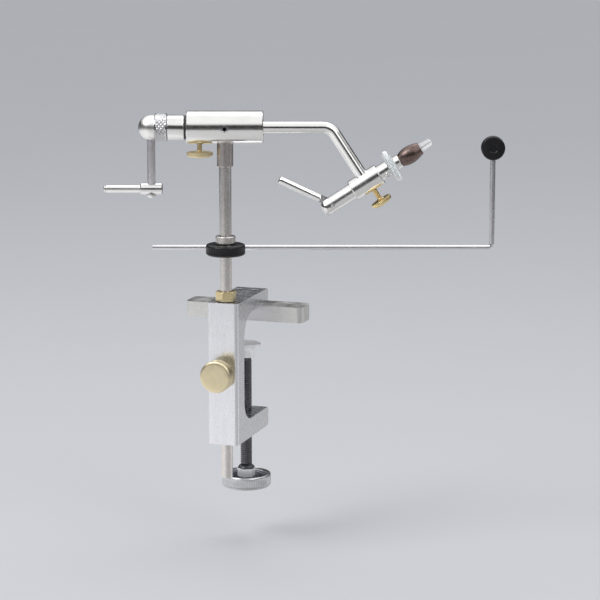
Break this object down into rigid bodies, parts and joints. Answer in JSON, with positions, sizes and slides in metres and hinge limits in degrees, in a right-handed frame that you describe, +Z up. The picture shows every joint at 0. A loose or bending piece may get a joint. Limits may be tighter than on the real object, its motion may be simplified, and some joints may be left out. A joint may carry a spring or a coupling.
{
  "type": "fly tying vise",
  "caption": "Rotary fly tying vise on a table clamp: cross tube on a stem, crank, bent arm with cam-operated jaws, material clip and a bobbin cradle rod.",
  "frame": {"origin": "centre of the crossbar's flat underside, which rests on the table top at its edge", "axes": "+X along the crossbar to the right, +Y from the table's edge in over the table, +Z up along the stem"},
  "size_m": [0.2978, 0.1118, 0.3128],
  "materials": {
    "clamp_aluminium": "satin",
    "bar_aluminium": "satin",
    "polished": "polished",
    "stem_steel": "satin",
    "knob_aluminium": "satin",
    "bright_steel": "polished",
    "brass": "satin",
    "bronze": "satin",
    "black_screw": "satin",
    "black_plastic": "gloss",
    "nylon": "matte",
    "dark_nose": "gloss",
    "clip_steel": "satin",
    "clip_wheel": "satin"
  },
  "bodies": {
    "clamp": {"clamp_frame": "clamp_aluminium", "crossbar": "bar_aluminium", "crossbar_screws": "black_screw", "stop_washer": "black_plastic"},
    "pad": {"clamp_pad": "bar_aluminium"},
    "screw": {"clamp_screw": "black_screw", "clamp_knob": "knob_aluminium", "knob_nut": "bright_steel"},
    "lock_tip": {"stem_lock_tip": "nylon"},
    "lock_knob": {"stem_lock_knob": "brass"},
    "swivel": {"stem_stop_collar": "brass", "stop_collar_screw": "black_screw"},
    "post": {"stem": "stem_steel", "stem_sleeve": "stem_steel", "head_tube": "polished", "front_bush": "bronze", "rear_bush": "bronze", "retaining_screw": "bright_steel"},
    "drag_tip": {"drag_tip": "nylon"},
    "drag_screw": {"drag_thumbscrew": "brass"},
    "rotor": {"arm": "polished", "thrust_washer": "black_plastic", "shaft_collar": "polished", "shaft_collar_screw": "black_screw", "crank_hub": "polished", "crank_arm": "bright_steel", "crank_cross_hub": "bright_steel", "crank_end_screw": "bright_steel", "grip_pin": "bright_steel", "jaw_housing": "polished"},
    "tension_ring": {"tension_ring": "bright_steel"},
    "grip": {"crank_grip": "bright_steel"},
    "jaw_tip": {"jaw_lock_tip": "nylon"},
    "jaw_screw": {"jaw_lock_screw": "brass"},
    "barrel": {"jaw_barrel": "polished", "barrel_screw": "bright_steel", "nose_collar": "polished", "jaw_nose": "dark_nose", "jaw_pivot_pin": "bright_steel", "return_spring": "bright_steel", "lever_pin": "bright_steel", "clip_wheel": "clip_wheel", "material_clip": "clip_steel"},
    "lever": {"cam_lever": "bright_steel"},
    "push_rod": {"push_rod": "bright_steel"},
    "upper_jaw": {"upper_jaw": "bright_steel"},
    "lower_jaw": {"lower_jaw": "bright_steel"},
    "cradle_slide": {"cradle_collar": "polished", "cradle_collar_screw": "black_screw", "cradle_ring": "black_screw"},
    "cradle": {"cradle_hub": "black_plastic", "hub_lock_screw": "black_screw"},
    "cradle_rod": {"cradle_rod": "bright_steel", "bobbin_rest": "black_plastic"}
  },
  "joints": [
    {"name": "pad_travel", "type": "slide", "parent": "clamp", "child": "pad", "axis": [0, 0, 1], "range_m": [-0.0445, 0.0198]},
    {"name": "clamp_screw_turn", "type": "hinge", "parent": "pad", "child": "screw", "pos_m": [0, -0.0055, -0.08], "axis": [0, 0, 1], "range_deg": [-9977, 4422]},
    {"name": "lock_tip_travel", "type": "slide", "parent": "clamp", "child": "lock_tip", "axis": [0, 1, 0], "range_m": [-0.0027, 0]},
    {"name": "lock_knob_turn", "type": "hinge", "parent": "lock_tip", "child": "lock_knob", "pos_m": [0, -0.0705, -0.0332], "axis": [0, 1, 0], "range_deg": [-720, 0]},
    {"name": "stem_turn", "type": "hinge", "parent": "clamp", "child": "swivel", "pos_m": [0, -0.0525, 0.027], "axis": [0, 0, 1], "continuous": true},
    {"name": "stem_height", "type": "slide", "parent": "swivel", "child": "post", "axis": [0, 0, 1], "range_m": [-0.014, 0.055]},
    {"name": "drag_tip_travel", "type": "slide", "parent": "post", "child": "drag_tip", "axis": [0, 0, 1], "range_m": [-0.0015, 0]},
    {"name": "drag_screw_turn", "type": "hinge", "parent": "drag_tip", "child": "drag_screw", "pos_m": [-0.01883, -0.05862, 0.1408], "axis": [0, 0, 1], "range_deg": [-720, 0]},
    {"name": "rotary_turn", "type": "hinge", "parent": "post", "child": "rotor", "pos_m": [0, -0.0525, 0.1608], "axis": [0.9511, 0.309, 0], "continuous": true},
    {"name": "tension_ring_turn", "type": "hinge", "parent": "rotor", "child": "tension_ring", "pos_m": [-0.04755, -0.06795, 0.1608], "axis": [0.9511, 0.309, 0], "range_deg": [-90, 90]},
    {"name": "grip_spin", "type": "hinge", "parent": "rotor", "child": "grip", "pos_m": [-0.07704, -0.07753, 0.1125], "axis": [0.9511, 0.309, 0], "continuous": true},
    {"name": "jaw_tip_travel", "type": "slide", "parent": "rotor", "child": "jaw_tip", "axis": [-0.518, -0.1683, 0.8387], "range_m": [-0.0015, 0]},
    {"name": "jaw_screw_turn", "type": "hinge", "parent": "jaw_tip", "child": "jaw_screw", "pos_m": [0.11601, -0.0148, 0.10352], "axis": [-0.518, -0.1683, 0.8387], "range_deg": [-720, 0]},
    {"name": "jaw_reach", "type": "slide", "parent": "rotor", "child": "barrel", "axis": [0.7976, 0.2592, 0.5446], "range_m": [-0.002, 0.019]},
    {"name": "lever_swing", "type": "hinge", "parent": "barrel", "child": "lever", "pos_m": [0.07997, -0.02652, 0.10037], "axis": [0.309, -0.9511, 0], "range_deg": [0, 45]},
    {"name": "push_rod_travel", "type": "slide", "parent": "barrel", "child": "push_rod", "axis": [0.7976, 0.2592, 0.5446], "range_m": [-0.00121, 0]},
    {"name": "upper_jaw_opening", "type": "hinge", "parent": "barrel", "child": "upper_jaw", "pos_m": [0.13931, -0.00723, 0.14089], "axis": [0.309, -0.9511, 0], "range_deg": [0, 3.01]},
    {"name": "lower_jaw_opening", "type": "hinge", "parent": "barrel", "child": "lower_jaw", "pos_m": [0.13931, -0.00723, 0.14089], "axis": [0.309, -0.9511, 0], "range_deg": [-3.01, 0]},
    {"name": "cradle_height", "type": "slide", "parent": "post", "child": "cradle_slide", "axis": [0, 0, 1], "range_m": [-0.014, 0.012]},
    {"name": "cradle_turn", "type": "hinge", "parent": "cradle_slide", "child": "cradle", "pos_m": [0, -0.0525, 0.0645], "axis": [0, 0, 1], "continuous": true},
    {"name": "cradle_rod_reach", "type": "slide", "parent": "cradle", "child": "cradle_rod", "axis": [0.9511, 0.309, 0], "range_m": [-0.016, 0.038]}
  ],
  "couplings": [
    {"joint": "pad_travel", "follows": "clamp_screw_turn", "m_per_rad": 0.00025266},
    {"joint": "lock_tip_travel", "follows": "lock_knob_turn", "m_per_rad": 0.00019894},
    {"joint": "drag_tip_travel", "follows": "drag_screw_turn", "m_per_rad": 0.00011141},
    {"joint": "jaw_tip_travel", "follows": "jaw_screw_turn", "m_per_rad": 0.00011141},
    {"joint": "push_rod_travel", "follows": "lever_swing", "m_per_rad": -0.0015279},
    {"joint": "upper_jaw_opening", "follows": "lever_swing", "ratio": 0.066667},
    {"joint": "lower_jaw_opening", "follows": "lever_swing", "ratio": -0.066667}
  ]
}
